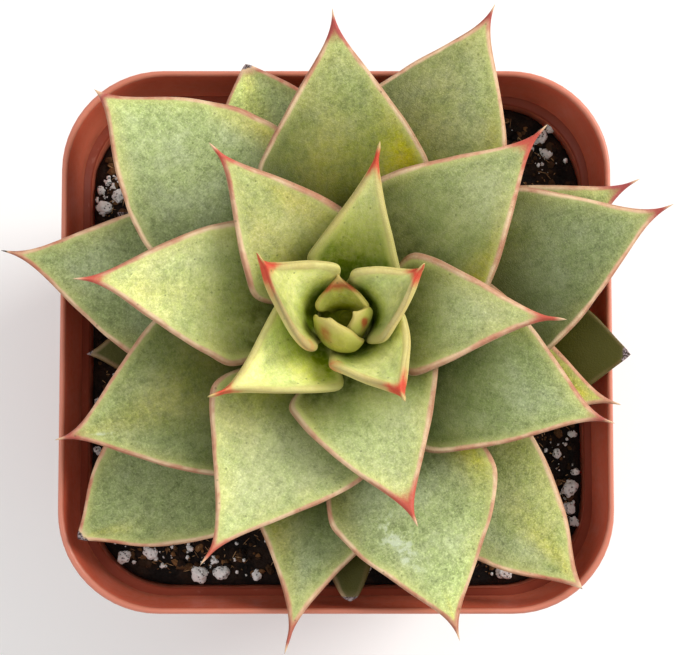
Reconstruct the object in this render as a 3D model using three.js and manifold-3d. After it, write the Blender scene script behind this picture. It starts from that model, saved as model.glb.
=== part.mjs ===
// Potted rosette succulent: thick pointed leaves around a short stem, in a square plastic nursery pot.
// Millimetres, +Z up. The origin is the centre of the pot's underside, and -Y is the front.
import * as THREE from "three";
import { mergeVertices } from "three/addons/utils/BufferGeometryUtils.js";
import Module from "manifold-3d";

const wasm = await Module();
wasm.setup();

// Clearance between pieces that rest on or stand in each other
const gap = 0.3;

// Pot
const pot = {
  rimX: 95.4,
  rimY: 94,
  height: 84,
  baseShare: 0.72,
  rimCorner: 17.5,
  baseCorner: 11,
  wall: 1.3,
  lip: 1,
  lipRound: 0.9,
  bandHeight: 14,
  bandStep: 1.1,
  bandTaper: 0.5,
  throatSlope: 1.5,
  ledgeDepth: 10.4,
  ledgeWidth: 1.3,
  ledgeFall: 0.4,
  shoulderDrop: 6,
  shoulderFill: 1.4,
  floor: 2,
  footEdge: 1.2,
  footFillet: 1.5,
  cornerSteps: 6,
  drainRadius: 4,
  drainPlace: 18,
};

// Potting mix
const soil = {
  depth: 12,
  lump: 0.9,
  brimSlope: 0.2,
  brimFall: 0.6,
  cornerSteps: 4,
  sideSteps: 5,
  topRings: 8,
  stemHole: 15,
};

// Stem, with its buried end
const stem = {
  x: 1.2,
  y: 2.4,
  radius: 4.4,
  topRadius: 3.2,
  topHeight: 97.5,
  topTaper: 6.5,
  crown: 1,
  buried: 14,
  rootRadius: 2.4,
  rootTaper: 5,
  sides: 14,
};

// Shape that all the leaves share
const blade = {
  footRadius: stem.radius + gap + 0.15,
  highestFoot: 97.2,
  footPitch: 0.72,
  footRise: 82,
  footRiseFade: 11,
  tipRise: 4,
  tipRiseGain: 28,
  tipRiseFade: 14,
  footHalf: 3.9,
  footThickness: 1.3,
  handle: 0.36,
  tipHandle: 0.36,
  taper: 1.5,
  shoulder: 0.95,
  thickness: 1.9,
  thicknessGain: 0.033,
  edge: 0.8,
  tipThickness: 0.75,
  belly: 1.4,
  bellyPlace: 0.8,
  bellyReach: 0.15,
  neck: 0.45,
  neckReach: 0.22,
  spineHalf: 0.32,
  wave: 0.35,
  stations: [0, 0.1, 0.2, 0.3, 0.4, 0.5, 0.6, 0.7, 0.79, 0.87, 0.93, 0.965],
  across: [-1, -0.6, 0, 0.6, 1],
};

// Leaves from the innermost to the lowest. heading is in degrees from +X, reach is from the stem's axis to
// the tip, tip is the tip's height over the rim, and half is half the widest breadth. cup is how far the
// margins stand over the midrib, sweep carries the tip sideways, bow bends the midrib sideways, and a
// higher rank puts the foot lower on the stem.
const leaves = [
  {
    rank: 1, heading: 161, reach: 16, tip: 25, half: 7.4,
    widest: 0.36, cup: 6, handle: 0.5, sweep: -4.6, bow: 0.6,
    neck: 0.62, neckReach: 0.4,
  },
  {
    rank: 0, heading: 21, reach: 14.8, tip: 25, half: 6.4,
    widest: 0.36, cup: 4.4, handle: 0.5, sweep: 2.8, bow: -0.4,
    neck: 0.62, neckReach: 0.4,
  },
  {
    rank: 3, heading: 305, reach: 17, tip: 24, half: 7.5,
    widest: 0.34, cup: 4.6, handle: 0.46, bow: 1, neck: 0.62, neckReach: 0.4,
  },
  {
    rank: 4.6, heading: 211.5, reach: 25.3, tip: 23, half: 9.2,
    widest: 0.24, cup: 4.8, taper: 1.9, bow: 1.1, neck: 0.55, neckReach: 0.3,
  },
  {
    rank: 4.9, heading: 78, reach: 28.5, tip: 23, half: 8,
    widest: 0.27, cup: 4, taper: 1.7, shoulder: 0.5,
  },
  {
    rank: 7.5, heading: 127.8, reach: 35.5, tip: 21, half: 10.8,
    widest: 0.3, cup: 3.6, taper: 1.6, bow: -1.1,
  },
  {
    rank: 6.6, heading: 359, reach: 36, tip: 20, half: 10.4,
    widest: 0.29, cup: 3.6, taper: 1.75, bow: 0.9,
  },
  { rank: 9.9, heading: 172, reach: 44.5, tip: 18, half: 12.4, widest: 0.36, cup: 3, bow: -2 },
  { rank: 8.2, heading: 289.5, reach: 36, tip: 18, half: 13.2, widest: 0.25, cup: 3.2, bow: -0.6 },
  {
    rank: 11.7, heading: 240, reach: 46.5, tip: 15, half: 15,
    widest: 0.4, cup: 3, taper: 1.75, bow: 1.6,
  },
  { rank: 10, heading: 43.5, reach: 46.5, tip: 16, half: 13.6, widest: 0.37, cup: 3, taper: 1.6 },
  {
    rank: 13.3, heading: 92, reach: 52, tip: 14.5, half: 14.6,
    widest: 0.46, cup: 3, taper: 1.4, shoulder: 0.6, bow: -1,
  },
  { rank: 13.2, heading: 339, reach: 48, tip: 12.5, half: 15.3, widest: 0.38, cup: 2.6, bow: -0.4 },
  { rank: 14.3, heading: 202.5, reach: 52, tip: 9.5, half: 15.8, widest: 0.45, cup: 2.8, bow: 1.8 },
  {
    rank: 16, heading: 137, reach: 57.5, tip: 10, half: 15.3,
    widest: 0.5, cup: 2.6, taper: 1.2, bow: -1.4,
  },
  { rank: 16.4, heading: 290, reach: 56.5, tip: 8.5, half: 15, widest: 0.53, cup: 2.6, bow: 1.1 },
  { rank: 17, heading: 19.5, reach: 59, tip: 10, half: 15.6, widest: 0.46, cup: 2.4, bow: -1.2 },
  {
    rank: 19.7, heading: 168, reach: 59.5, tip: 5.5, half: 14.8,
    widest: 0.47, cup: 2.2, bow: -0.4,
  },
  { rank: 20, heading: 64.5, reach: 60.5, tip: 7.5, half: 15.2, widest: 0.51, cup: 2.2 },
  {
    rank: 20.4, heading: 260, reach: 56.5, tip: 5, half: 12,
    widest: 0.54, cup: 2, taper: 2, shoulder: 0.7, bow: 1.2,
  },
  {
    rank: 23, heading: 219, reach: 58, tip: 2, half: 15,
    widest: 0.58, cup: 2, taper: 0.65, shoulder: 0.1, bow: 1.5,
  },
  {
    rank: 26.3, heading: 110.5, reach: 48, tip: 3.5, half: 14,
    widest: 0.6, cup: 3, taper: 0.75, shoulder: 0.1, neck: 0.2,
  },
  {
    rank: 24.3, heading: 312, reach: 60.5, tip: 3, half: 12.6,
    widest: 0.56, cup: 2, taper: 0.9, shoulder: 0.4, bow: -1,
  },
  { rank: 25.7, heading: 26, reach: 56.5, tip: 5, half: 11, widest: 0.5, cup: 2 },
  { rank: 21.4, heading: 343.5, reach: 49, tip: 5.8, half: 11.6, widest: 0.45, cup: 2 },
  {
    rank: 31, heading: 354, reach: 49.5, tip: 2, half: 11.4,
    widest: 0.6, cup: 1.4, taper: 0.8, shoulder: 0.5, neck: 0.3, belly: 0.2,
  },
  {
    rank: 27.5, heading: 271.5, reach: 47.2, tip: 0.4, half: 5.8,
    widest: 0.6, cup: 1, taper: 0.45, shoulder: 0.1, neck: 0.1, belly: 0.5,
  },
  {
    rank: 28, heading: 186, reach: 45, tip: -4, half: 8,
    widest: 0.6, cup: 1, taper: 0.9, shoulder: 0.4, belly: 0.4,
  },
  {
    rank: 32, heading: 153, reach: 44.5, tip: -4, half: 7,
    widest: 0.6, cup: 1, taper: 0.8, shoulder: 0.4, belly: 0.2,
  },
];

// Bud leaves at the heart: the first leans back, and the others swell outwards and close over the middle
const buds = [
  {
    heading: 90, reach: 6.6, tip: 21, half: 4.5, cup: 1.6, sweep: 0.9,
    footRadius: 1.2, footRise: 88, tipRise: 24, widest: 0.5, taper: 1.2,
  },
  {
    heading: 246, reach: 1.2, tip: 21.6, half: 4.6, cup: 2.4, bow: 0.9, sweep: -1.6,
    footRadius: 2.6, footRise: 50, tipRise: 150, widest: 0.66, taper: 0.7,
  },
  {
    heading: 322, reach: 0.8, tip: 20.8, half: 3.3, cup: 1.2, bow: 0.2, sweep: 1.4,
    footRadius: 2, footRise: 66, tipRise: 150, widest: 0.6, taper: 0.8,
  },
];
const budShape = {
  footHeight: stem.topHeight - 1.5,
  footHalf: 2,
  handle: 0.5,
  shoulder: 0.4,
  thickness: 1.4,
  belly: 0,
};

// Perlite grains that lie in the potting mix: place from the pot's centre, and breadth
const grains = [
  { x: -41.5, y: 24.4, size: 2.4 },
  { x: -39.2, y: 26.6, size: 2.1 },
  { x: -32.9, y: -37, size: 2.3 },
  { x: -37.6, y: -37.8, size: 2.1 },
  { x: -24.2, y: -40.7, size: 2.8 },
  { x: -20.3, y: -40.6, size: 2.4 },
  { x: -14, y: -41, size: 1.7 },
  { x: 29.8, y: -40.4, size: 2.6 },
  { x: 41.4, y: -25.7, size: 2.6 },
  { x: 41.4, y: -29.2, size: 1.9 },
  { x: 42, y: -16.1, size: 1.5 },
  { x: 39.2, y: -19.5, size: 1.5 },
  { x: 37.9, y: 34.3, size: 1.8 },
  { x: 36.9, y: 37.4, size: 2.2 },
];
const grainShape = { flatness: 0.78, stretch: 1.2, dents: 0.14, showing: 0.12 };

function radians(degrees) {
  return THREE.MathUtils.degToRad(degrees);
}

// Closed solid through rings of points, with a fan to the middle of the first and the last ring
function loft(rings) {
  const count = rings[0].length;
  const points = rings.flat();
  const index = [];
  for (let ring = 0; ring < rings.length - 1; ring++) {
    for (let i = 0; i < count; i++) {
      const next = (i + 1) % count;
      const a = ring * count + i;
      const b = ring * count + next;
      index.push(a, b, b + count, a, b + count, a + count);
    }
  }
  for (const [first, ends] of [[0, rings[0]], [(rings.length - 1) * count, rings.at(-1)]]) {
    const middle = ends.reduce((sum, p) => sum.add(p), new THREE.Vector3()).divideScalar(count);
    const hub = points.push(middle) - 1;
    for (let i = 0; i < count; i++) {
      const a = first + i;
      const b = first + ((i + 1) % count);
      index.push(...(first === 0 ? [hub, b, a] : [hub, a, b]));
    }
  }
  const geometry = new THREE.BufferGeometry().setFromPoints(points);
  geometry.setIndex(index);
  return geometry;
}

function toSolid(geometry) {
  const bare = new THREE.BufferGeometry();
  bare.setAttribute("position", geometry.getAttribute("position"));
  bare.setIndex(geometry.index);
  const merged = mergeVertices(bare, 1e-4);
  return new wasm.Manifold(
    new wasm.Mesh({
      numProp: 3,
      vertProperties: new Float32Array(merged.attributes.position.array),
      triVerts: new Uint32Array(merged.index.array),
    }),
  );
}

function toGeometry(solid) {
  const mesh = solid.getMesh();
  const geometry = new THREE.BufferGeometry();
  geometry.setAttribute("position", new THREE.BufferAttribute(mesh.vertProperties, 3));
  geometry.setIndex(new THREE.BufferAttribute(mesh.triVerts, 1));
  return geometry;
}

// Rounded square, anticlockwise from the right-hand side
function squareRing(halfX, halfY, corner, height, cornerSteps, sideSteps = 1) {
  const points = [];
  const quarters = [[1, 1], [-1, 1], [-1, -1], [1, -1]];
  quarters.forEach(([signX, signY], quarter) => {
    const centre = new THREE.Vector2(signX * (halfX - corner), signY * (halfY - corner));
    for (let step = 0; step <= cornerSteps; step++) {
      const angle = radians(90) * (quarter + step / cornerSteps);
      points.push(
        new THREE.Vector3(
          centre.x + corner * Math.cos(angle),
          centre.y + corner * Math.sin(angle),
          height,
        ),
      );
    }
    const [nextX, nextY] = quarters[(quarter + 1) % 4];
    const start = points.at(-1).clone();
    const turn = radians(90) * (quarter + 1);
    const end = new THREE.Vector3(
      nextX * (halfX - corner) + corner * Math.cos(turn),
      nextY * (halfY - corner) + corner * Math.sin(turn),
      height,
    );
    for (let step = 1; step < sideSteps; step++) {
      points.push(start.clone().lerp(end, step / sideSteps));
    }
  });
  return points;
}

// Distance that the pot's outer wall stands in from the rim's outer edge, at a height
function wallInset(height) {
  const bandFoot = pot.height - pot.bandHeight;
  const full = (pot.rimX * (1 - pot.baseShare)) / 2 - pot.bandStep;
  return pot.bandStep + full * (1 - height / bandFoot);
}

function potRing(inset, height, cornerSteps = pot.cornerSteps, sideSteps = 1) {
  const corner = THREE.MathUtils.lerp(pot.baseCorner, pot.rimCorner, height / pot.height) - inset * 0.35;
  return squareRing(pot.rimX / 2 - inset, pot.rimY / 2 - inset, corner, height, cornerSteps, sideSteps);
}

// Inset and height of the pot's inner wall, from the floor up to the ledge, moved inwards by an allowance
function innerWall(allowance) {
  const base = wallInset(0);
  const shoulder = pot.height - pot.bandHeight - pot.shoulderDrop;
  return [
    [base + pot.wall + pot.footFillet + allowance, pot.floor + allowance],
    [base + pot.wall + allowance, pot.floor + pot.footFillet + allowance],
    [wallInset(shoulder) + pot.wall + pot.shoulderFill + allowance, shoulder],
  ];
}

function makePot() {
  const top = pot.height;
  const bandFoot = top - pot.bandHeight;
  const ledge = top - pot.ledgeDepth;
  const throat = pot.lip + pot.throatSlope;
  const outside = [
    [wallInset(0) + pot.footEdge, 0],
    [wallInset(0), pot.footEdge],
    [wallInset(bandFoot), bandFoot],
    [pot.bandTaper, bandFoot + pot.bandTaper],
    [0, top - pot.lipRound],
    [pot.lipRound * 0.1, top - pot.lipRound * 0.3],
  ];
  const inside = [
    [pot.lipRound * 0.45, top],
    [pot.lip, top - pot.lipRound * 0.1],
    [pot.lip + pot.lipRound * 0.5, top - pot.lipRound * 0.7],
    [throat, ledge],
    [throat + pot.ledgeWidth, ledge - pot.ledgeFall],
    ...innerWall(0).reverse(),
  ];
  const rings = [...outside, ...inside].map(([inset, height]) => potRing(inset, height));
  let solid = toSolid(loft(rings));
  for (const [x, y] of [[1, 1], [-1, 1], [-1, -1], [1, -1]]) {
    const hole = new THREE.CylinderGeometry(pot.drainRadius, pot.drainRadius, pot.floor * 3, 16);
    hole.rotateX(radians(90));
    hole.translate(x * pot.drainPlace, y * pot.drainPlace, pot.floor / 2);
    solid = solid.subtract(toSolid(hole));
  }
  return toGeometry(solid);
}

// Lumps of the potting mix over its mean level
function lumps(x, y) {
  const coarse = Math.sin(x * 0.31 + 1.3) * Math.cos(y * 0.27 - 0.6);
  const fine = Math.sin(x * 0.83 + y * 0.35) * Math.cos(y * 0.71 - x * 0.22 + 2);
  return soil.lump * (0.6 * coarse + 0.4 * fine);
}

// Perlite grain: a squashed, dented stone with its middle near the top of the mix, at a growth over its size
function grainGeometry(grain, order, growth) {
  const half = grain.size / 2;
  const ball = new THREE.IcosahedronGeometry(1, 1);
  ball.deleteAttribute("normal");
  ball.deleteAttribute("uv");
  const stone = mergeVertices(ball);
  const points = stone.getAttribute("position");
  for (let i = 0; i < points.count; i++) {
    const p = new THREE.Vector3().fromBufferAttribute(points, i);
    const dent = Math.sin(p.x * 4.1 + order * 1.7) * Math.cos(p.y * 3.7 - order * 2.3 + p.z * 2.6);
    p.multiplyScalar(1 + grainShape.dents * dent);
    p.set(
      p.x * (half * grainShape.stretch + growth),
      p.y * (half + growth),
      p.z * (half * grainShape.flatness + growth),
    );
    points.setXYZ(i, p.x, p.y, p.z);
  }
  stone.rotateZ(order * 1.3);
  const level = pot.height - soil.depth + lumps(grain.x, grain.y);
  stone.translate(grain.x, grain.y, level + grain.size * grainShape.showing);
  return stone;
}

// Body of potting mix that fills the pot to its mean level, with a lumpy top, a plain hole for the stem and
// a pit under each perlite grain
function makeSoil() {
  const level = pot.height - soil.depth;
  const steps = [soil.cornerSteps, soil.sideSteps];
  const rings = innerWall(gap).map(([inset, height]) => potRing(inset, height, ...steps));
  const brim = potRing(pot.lip + pot.throatSlope + pot.ledgeWidth + gap + soil.brimSlope, level, ...steps);
  const hole = brim.map((p) => {
    const away = new THREE.Vector3(p.x - stem.x, p.y - stem.y, 0).setLength(stem.radius + gap);
    return new THREE.Vector3(stem.x + away.x, stem.y + away.y, level);
  });
  for (let ring = 0; ring <= soil.topRings; ring++) {
    const share = (ring / soil.topRings) ** 0.85;
    rings.push(
      brim.map((p, i) => {
        const q = p.clone().lerp(hole[i], share);
        q.z = ring === 0 ? level - soil.brimFall : level + lumps(q.x, q.y);
        return q;
      }),
    );
  }
  rings.push(hole.map((p) => new THREE.Vector3(p.x, p.y, level - soil.stemHole)));
  let solid = toSolid(loft(rings));
  grains.forEach((grain, order) => {
    solid = solid.subtract(toSolid(grainGeometry(grain, order, gap)));
  });
  return toGeometry(solid);
}

// Half width along a leaf: narrow at the foot, widest at the shoulders, and drawn out to the tip
function halfWidth(leaf, along) {
  const before = Math.min(along / leaf.widest, 1);
  const after = Math.max((along - leaf.widest) / (1 - leaf.widest), 0);
  const rising = THREE.MathUtils.lerp(leaf.footHalf, leaf.half, THREE.MathUtils.smoothstep(before, 0, 1));
  const neck = 1 - leaf.neck * Math.exp(-(((1 - after) / leaf.neckReach) ** 2));
  const falling = (1 - after) ** leaf.taper * (1 + leaf.shoulder * after) * neck;
  return Math.max(rising * falling, blade.spineHalf);
}

// Thickness under the midrib: thin at the foot, full from the middle to the belly near the tip
function fullness(leaf, along) {
  const opening = THREE.MathUtils.smoothstep(along, 0, 0.3);
  const foot = THREE.MathUtils.lerp(blade.footThickness, leaf.thickness, opening);
  const belly = leaf.belly * Math.exp(-(((along - blade.bellyPlace) / blade.bellyReach) ** 2));
  return THREE.MathUtils.lerp(foot, blade.tipThickness, along ** 2) + belly;
}

// A leaf's own curve from its foot on the stem to its tip: x is the distance from the axis, y the height
function midribOf(leaf) {
  const foot = new THREE.Vector2(leaf.footRadius, leaf.footHeight);
  const tip = new THREE.Vector2(leaf.reach, pot.height + leaf.tip);
  const span = foot.distanceTo(tip);
  const towards = (degrees) => new THREE.Vector2(Math.cos(radians(degrees)), Math.sin(radians(degrees)));
  const first = foot.clone().addScaledVector(towards(leaf.footRise), span * leaf.handle);
  const second = tip.clone().addScaledVector(towards(leaf.tipRise), -span * blade.tipHandle);
  return new THREE.CubicBezierCurve(foot, first, second, tip);
}

// Point of a leaf: along runs from foot to tip, across from the right margin to the left, side 0 is the
// upper face and side 1 the underside
function leafPoint(leaf, along, across, side) {
  const mid = leaf.midrib.getPoint(along);
  const slope = leaf.midrib.getTangent(along);
  const half = halfWidth(leaf, along);
  const share = half / leaf.half;
  const wave = blade.wave * share * Math.abs(across) ** 3 * Math.sin(along * 17 + leaf.rank * 2.4 + across);
  const lift = leaf.cup * share ** 1.5 * across ** 2 + wave;
  const middle = fullness(leaf, along);
  const edge = Math.min(blade.edge, middle);
  const thickness = edge + (middle - edge) * (1 - Math.abs(across) ** 2.4);
  const over = lift - side * thickness;
  const bend = leaf.bow * 4 * along * (1 - along) + leaf.sweep * along ** 2;
  return new THREE.Vector3(mid.x - slope.y * over, across * half + bend, mid.y + slope.x * over);
}

function leafGeometry(leaf) {
  const rings = blade.stations.map((along) => {
    const upper = blade.across.map((across) => leafPoint(leaf, along, -across, 0));
    const under = blade.across.map((across) => leafPoint(leaf, along, across, 1));
    return [...upper, ...under];
  });
  const tip = leafPoint(leaf, 1, 0, 0.5);
  rings.push(rings[0].map(() => tip.clone()));
  const geometry = mergeVertices(loft(rings), 1e-3);
  geometry.rotateZ(radians(leaf.heading));
  geometry.translate(stem.x, stem.y, 0);
  return geometry;
}

// A leaf's foot is lower on the stem and its blade lies flatter the older it is
function grown(entry) {
  const { rank } = entry;
  const leaf = {
    bow: 0,
    sweep: 0,
    taper: blade.taper,
    shoulder: blade.shoulder,
    handle: blade.handle,
    footRadius: blade.footRadius,
    footHeight: blade.highestFoot - blade.footPitch * rank,
    footRise: blade.footRise * Math.exp(-rank / blade.footRiseFade),
    tipRise: blade.tipRise + blade.tipRiseGain * Math.exp(-rank / blade.tipRiseFade),
    footHalf: blade.footHalf,
    thickness: blade.thickness + blade.thicknessGain * rank,
    belly: blade.belly,
    neck: blade.neck,
    neckReach: blade.neckReach,
    ...entry,
  };
  leaf.midrib = midribOf(leaf);
  return leaf;
}

function makeStem() {
  const bottom = pot.height - soil.depth - stem.buried;
  const profile = [
    new THREE.Vector2(0, bottom),
    new THREE.Vector2(stem.rootRadius, bottom),
    new THREE.Vector2(stem.radius, bottom + stem.rootTaper),
    new THREE.Vector2(stem.radius, stem.topHeight - stem.topTaper),
    new THREE.Vector2(stem.topRadius, stem.topHeight),
    new THREE.Vector2(0, stem.topHeight + stem.crown),
  ];
  const core = new THREE.LatheGeometry(profile, stem.sides);
  core.rotateX(radians(90));
  core.translate(stem.x, stem.y, 0);
  let solid = toSolid(core);
  buds.forEach((entry, order) => {
    const bud = grown({ rank: -order, ...budShape, ...entry });
    solid = solid.add(toSolid(leafGeometry(bud)));
  });
  return toGeometry(solid);
}

// Leaf colour by age: yellow-green at the heart, grey-green in the middle and bluish green at the bottom
const leafAges = [
  { upTo: 5, color: "#b7bd68" },
  { upTo: 12, color: "#a3b06c" },
  { upTo: 22, color: "#8b9f66" },
  { upTo: 99, color: "#7b8d5c" },
];

function skin(color, roughness) {
  return new THREE.MeshStandardMaterial({ color, roughness, metalness: 0 });
}

function part(name, geometry, material) {
  const mesh = new THREE.Mesh(geometry, material);
  mesh.name = name;
  return mesh;
}

function numbered(word, order) {
  return `${word}_${String(order + 1).padStart(2, "0")}`;
}

const plant = new THREE.Group();
plant.add(part("pot", makePot(), skin("#a5503c", 0.45)));
plant.add(part("soil", makeSoil(), skin("#1c140f", 1)));
plant.add(part("stem_and_heart", makeStem(), skin("#a9ab52", 0.55)));
leaves.forEach((entry, order) => {
  const age = leafAges.find((step) => entry.rank <= step.upTo);
  plant.add(part(numbered("leaf", order), leafGeometry(grown(entry)), skin(age.color, 0.6)));
});
grains.forEach((grain, order) => {
  plant.add(part(numbered("perlite", order), grainGeometry(grain, order, 0), skin("#c9c6bf", 0.95)));
});

export default plant;
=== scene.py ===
# Potted rosette succulent: fine leaves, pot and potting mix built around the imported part.
import math
import random

import bmesh
import bpy
from mathutils import Matrix, Vector, noise


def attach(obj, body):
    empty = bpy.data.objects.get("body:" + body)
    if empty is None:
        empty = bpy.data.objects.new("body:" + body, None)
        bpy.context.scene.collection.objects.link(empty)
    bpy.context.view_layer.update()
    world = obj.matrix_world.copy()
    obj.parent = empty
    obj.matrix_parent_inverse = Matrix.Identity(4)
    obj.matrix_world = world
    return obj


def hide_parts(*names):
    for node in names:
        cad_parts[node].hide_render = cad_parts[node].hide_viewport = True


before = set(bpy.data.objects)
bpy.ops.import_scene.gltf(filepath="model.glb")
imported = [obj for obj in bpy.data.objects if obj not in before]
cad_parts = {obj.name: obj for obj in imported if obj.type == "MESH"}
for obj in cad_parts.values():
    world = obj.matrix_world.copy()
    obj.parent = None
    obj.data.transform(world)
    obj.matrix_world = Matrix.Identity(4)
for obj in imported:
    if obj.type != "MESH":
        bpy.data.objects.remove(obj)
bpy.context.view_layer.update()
mm = 0.001  # the values below are in millimetres
print("frame loaded:", len(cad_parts), "nodes")


# Small helpers

def mix(a, b, t):
    return a + (b - a) * t


def smooth(x, low=0, high=1):
    t = min(max((x - low) / (high - low), 0), 1)
    return t * t * (3 - 2 * t)


def paint(r, g, b):  # a colour as the eye reads it, 0 to 255, for the shader
    def lift(c):
        c /= 255
        return c / 12.92 if c <= 0.04045 else ((c + 0.055) / 1.055) ** 2.4
    return (lift(r), lift(g), lift(b), 1)


def roughly(point, seed=0):  # slow noise from -1 to 1 at a point in mm
    return noise.noise(Vector(point) + Vector((seed * 7.3, seed * 3.1, seed)))


# Node helpers

def plug(tree, value, socket):  # a socket is linked, a plain value is set
    if isinstance(value, bpy.types.NodeSocket):
        tree.links.new(value, socket)
    else:
        socket.default_value = value


def addNode(tree, kind, values=None, **settings):
    node = tree.nodes.new(kind)
    for key, value in settings.items():
        setattr(node, key, value)
    for key, value in (values or {}).items():
        plug(tree, value, node.inputs[key])
    return node


def blendColour(tree, factor, a, b):
    return addNode(tree, "ShaderNodeMix", {0: factor, 6: a, 7: b}, data_type="RGBA").outputs[2]


def calc(tree, operation, a, b=0, clamp=False):
    return addNode(tree, "ShaderNodeMath", {0: a, 1: b}, operation=operation, use_clamp=clamp).outputs[0]


def plus(tree, total, *others):
    for value in others:
        total = calc(tree, "ADD", total, value)
    return total


def times(tree, total, *others, clamp=False):
    for value in others:
        total = calc(tree, "MULTIPLY", total, value, clamp)
    return total


def span(tree, value, low, high, toLow=0, toHigh=1):
    values = {"Value": value, "From Min": low, "From Max": high, "To Min": toLow, "To Max": toHigh}
    return addNode(tree, "ShaderNodeMapRange", values, interpolation_type="SMOOTHSTEP").outputs["Result"]


def sway(tree, noiseValue, reach, depth):  # a noise's middle, from -depth to depth
    return span(tree, noiseValue, 0.5 - reach, 0.5 + reach, -depth, depth)


def grain(tree, vector, scale, detail=3, roughness=0.5, curl=0):
    values = {"Vector": vector, "Scale": scale, "Detail": detail, "Roughness": roughness, "Distortion": curl}
    return addNode(tree, "ShaderNodeTexNoise", values).outputs["Fac"]


def reading(tree, name, output="Fac"):
    return addNode(tree, "ShaderNodeAttribute", attribute_name=name).outputs[output]


def coordinate(tree, output="Object"):
    return addNode(tree, "ShaderNodeTexCoord").outputs[output]


def stretched(tree, vector, x, y, z):
    return addNode(tree, "ShaderNodeMapping", {"Vector": vector, "Scale": (x, y, z)}).outputs["Vector"]


def newMaterial(name):
    material = bpy.data.materials.new(name)
    material.use_nodes = True
    tree = material.node_tree
    return material, tree, tree.nodes["Principled BSDF"]


def dress(tree, shader, values):
    for key, value in values.items():
        plug(tree, value, shader.inputs[key])


def addBump(tree, shader, height, distance, strength=1):
    node = addNode(tree, "ShaderNodeBump", {"Height": height, "Distance": distance, "Strength": strength})
    tree.links.new(node.outputs["Normal"], shader.inputs["Normal"])


# Mesh helpers

def addObject(name, data):
    thing = bpy.data.objects.new(name, data)
    bpy.context.scene.collection.objects.link(thing)
    return thing


def meshFrom(bm, name):
    mesh = bpy.data.meshes.new(name)
    bm.to_mesh(mesh)
    bm.free()
    return mesh


def layerOf(kind, name):
    return kind.get(name) or kind.new(name)


def ringEdges(bm, ring):
    return [bm.edges.get((ring[i - 1], ring[i])) for i in range(len(ring))]


def nextRing(bm, ring):  # extrudes a closed ring and gives the new points in the same order
    out = bmesh.ops.extrude_edge_only(bm, edges=ringEdges(bm, ring))
    fresh = {g for g in out["geom"] if isinstance(g, bmesh.types.BMVert)}
    return [next(e.other_vert(v) for e in v.link_edges if e.other_vert(v) in fresh) for v in ring]


def skinOver(bm, rings, mark=None):  # a skin from ring to ring of points in mm, closed at both ends
    first = bmesh.ops.create_circle(bm, segments=len(rings[0]), radius=mm)["verts"]
    drawn = [first]
    for number, points in enumerate(rings):
        if number:
            drawn.append(nextRing(bm, drawn[-1]))
        for i, (vert, point) in enumerate(zip(drawn[-1], points)):
            vert.co = Vector(point) * mm
            if mark:
                mark(vert, number, i)
    for ring in (drawn[0], drawn[-1]):
        cap = bmesh.ops.contextual_create(bm, geom=ringEdges(bm, ring))["faces"]
        centre = bmesh.ops.poke(bm, faces=cap)["verts"][0]
        if mark:
            mark(centre, 0 if ring is drawn[0] else len(rings) - 1, 0)
    return drawn


def finishPiece(name, bm, material, nodes=(), levels=0, flat=False):
    bmesh.ops.recalc_face_normals(bm, faces=bm.faces)
    for face in bm.faces:
        face.smooth = not flat
    piece = addObject(name, meshFrom(bm, name))
    piece.data.materials.append(material)
    if levels:
        subdivision = piece.modifiers.new("subdivision", "SUBSURF")
        subdivision.levels = subdivision.render_levels = levels
    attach(piece, "root")
    if nodes:
        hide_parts(*nodes)
    return piece


# Camera, floor and light

view = {"place": (0.6, -23.1, 403), "tilt": 4.5, "lens": 98.4, "sensor": 36, "floor": 1500}

cameraData = bpy.data.cameras.new("camera")
cameraData.lens = view["lens"]
cameraData.sensor_width = view["sensor"]
camera = addObject("camera", cameraData)
camera.location = Vector(view["place"]) * mm
camera.rotation_euler = (math.radians(view["tilt"]), 0, 0)
bpy.context.scene.camera = camera

light = {  # places and size in mm, power in watts
    "panels": [
        {"place": (448, 228, 410), "power": 3.3, "tone": (1, 0.985, 0.95)},
        {"place": (-380, -67, 550), "power": 0.7, "tone": (0.97, 0.99, 1)},
    ],
    "aim": (0, 0, 90), "size": 300, "sky": 0.7,
}

for number, panel in enumerate(light["panels"]):
    lamp = bpy.data.lights.new(f"panel{number}", "AREA")
    lamp.energy = panel["power"]
    lamp.size = light["size"] * mm
    lamp.color = panel["tone"]
    holder = addObject(f"panel{number}", lamp)
    holder.location = Vector(panel["place"]) * mm
    towards = Vector(light["aim"]) - Vector(panel["place"])
    holder.rotation_euler = towards.to_track_quat("-Z", "Y").to_euler()

world = bpy.data.worlds.new("studio")
world.use_nodes = True
tree = world.node_tree
dress(tree, tree.nodes["Background"], {"Color": (1, 1, 1, 1), "Strength": light["sky"]})
bpy.context.scene.world = world
bpy.context.scene.view_settings.view_transform = "Standard"

bm = bmesh.new()
bmesh.ops.create_grid(bm, x_segments=1, y_segments=1, size=view["floor"] * mm)
floor = addObject("floor", meshFrom(bm, "floor"))
floorPaint, tree, shader = newMaterial("pale floor")
dress(tree, shader, {"Base Color": (0.95, 0.95, 0.94, 1), "Roughness": 0.9})
floor.data.materials.append(floorPaint)
print("camera, floor and light placed")


# Leaf skin

skinNoise = {  # scale, detail, roughness and distortion; a scale of 1 has bumps of about a millimetre
    "patches": (0.13, 3, 0.55), "blush": (0.17, 3, 0.6), "mottle": (0.6, 4, 0.6), "streaks": (1.3, 3, 0.6),
    "grit": (1.5, 3, 0.65, 0.9), "speckle": (3.1, 2, 0.75), "powder": (6.5, 1, 0.5),
}
pitScale, streakLength = 0.5, 0.3


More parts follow.
